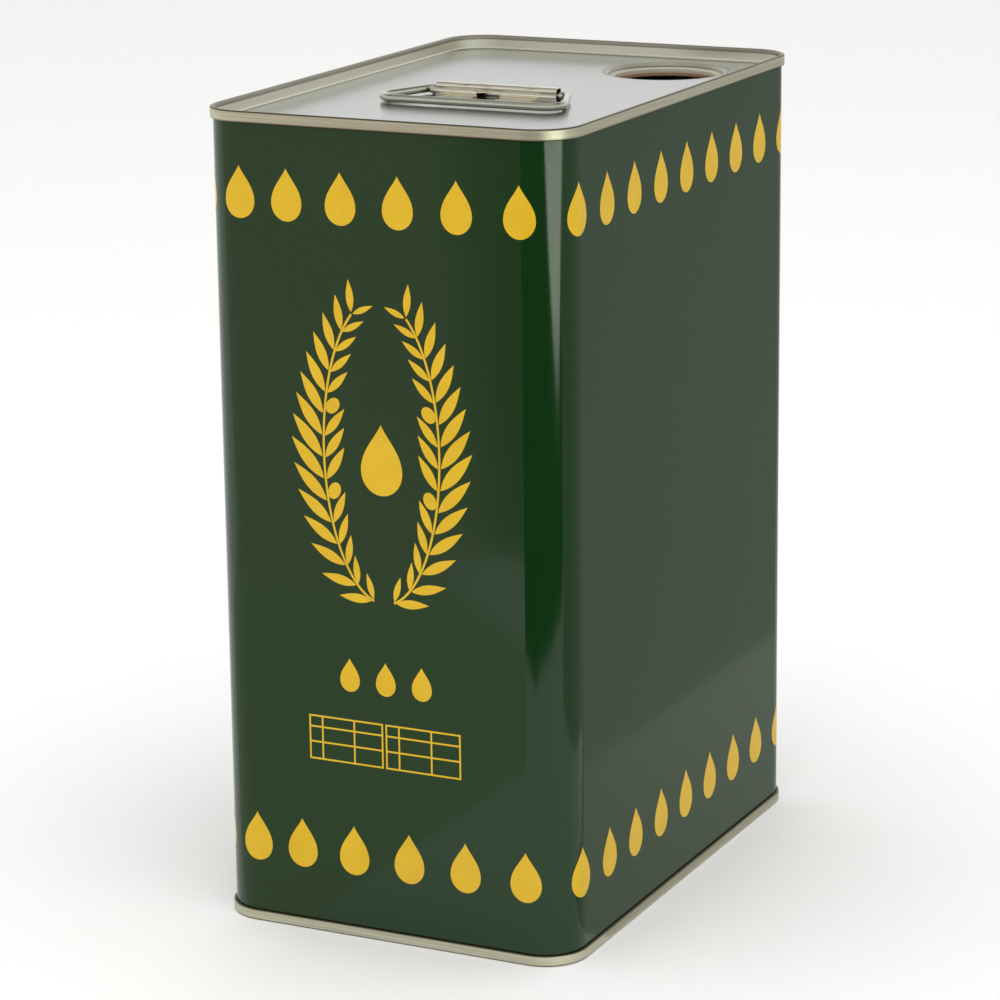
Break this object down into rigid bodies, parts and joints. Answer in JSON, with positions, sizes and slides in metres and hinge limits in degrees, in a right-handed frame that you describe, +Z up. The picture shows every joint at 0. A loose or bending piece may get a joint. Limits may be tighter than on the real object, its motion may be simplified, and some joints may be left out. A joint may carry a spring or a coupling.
{
  "type": "oblong oil tin with pouring mouth and bail handle",
  "caption": "Tall oblong metal tin with rounded corners, double seamed ends, an open drawn pouring mouth in one corner of the top and a folding wire bail held by a pressed saddle.",
  "frame": {"origin": "middle of the footprint, on the surface that the bottom seam stands on", "axes": "+Z up; +Y towards the back, where the body's weld runs; -Y is the narrow front that the resting bail lies towards; +X to the right, the side on which the mouth lies"},
  "size_m": [0.119, 0.178, 0.25],
  "materials": {
    "lacquered_plate": "gloss",
    "gold_print": "gloss",
    "bright_plate": "bright",
    "bare_plate": "satin",
    "tinned_wire": "bright",
    "compound": "matte"
  },
  "bodies": {
    "tin": {"body_shell": "lacquered_plate", "top_end": "bright_plate", "bottom_end": "bare_plate", "top_seam_compound": "compound", "bottom_seam_compound": "compound", "handle_saddle": "bare_plate"},
    "bail": {"handle_bail": "tinned_wire"}
  },
  "joints": [
    {"name": "bail_pivot", "type": "hinge", "parent": "tin", "child": "bail", "pos_m": [0.0012, -0.0098, 0.2471], "axis": [-1, 0, 0], "range_deg": [0, 180]}
  ]
}
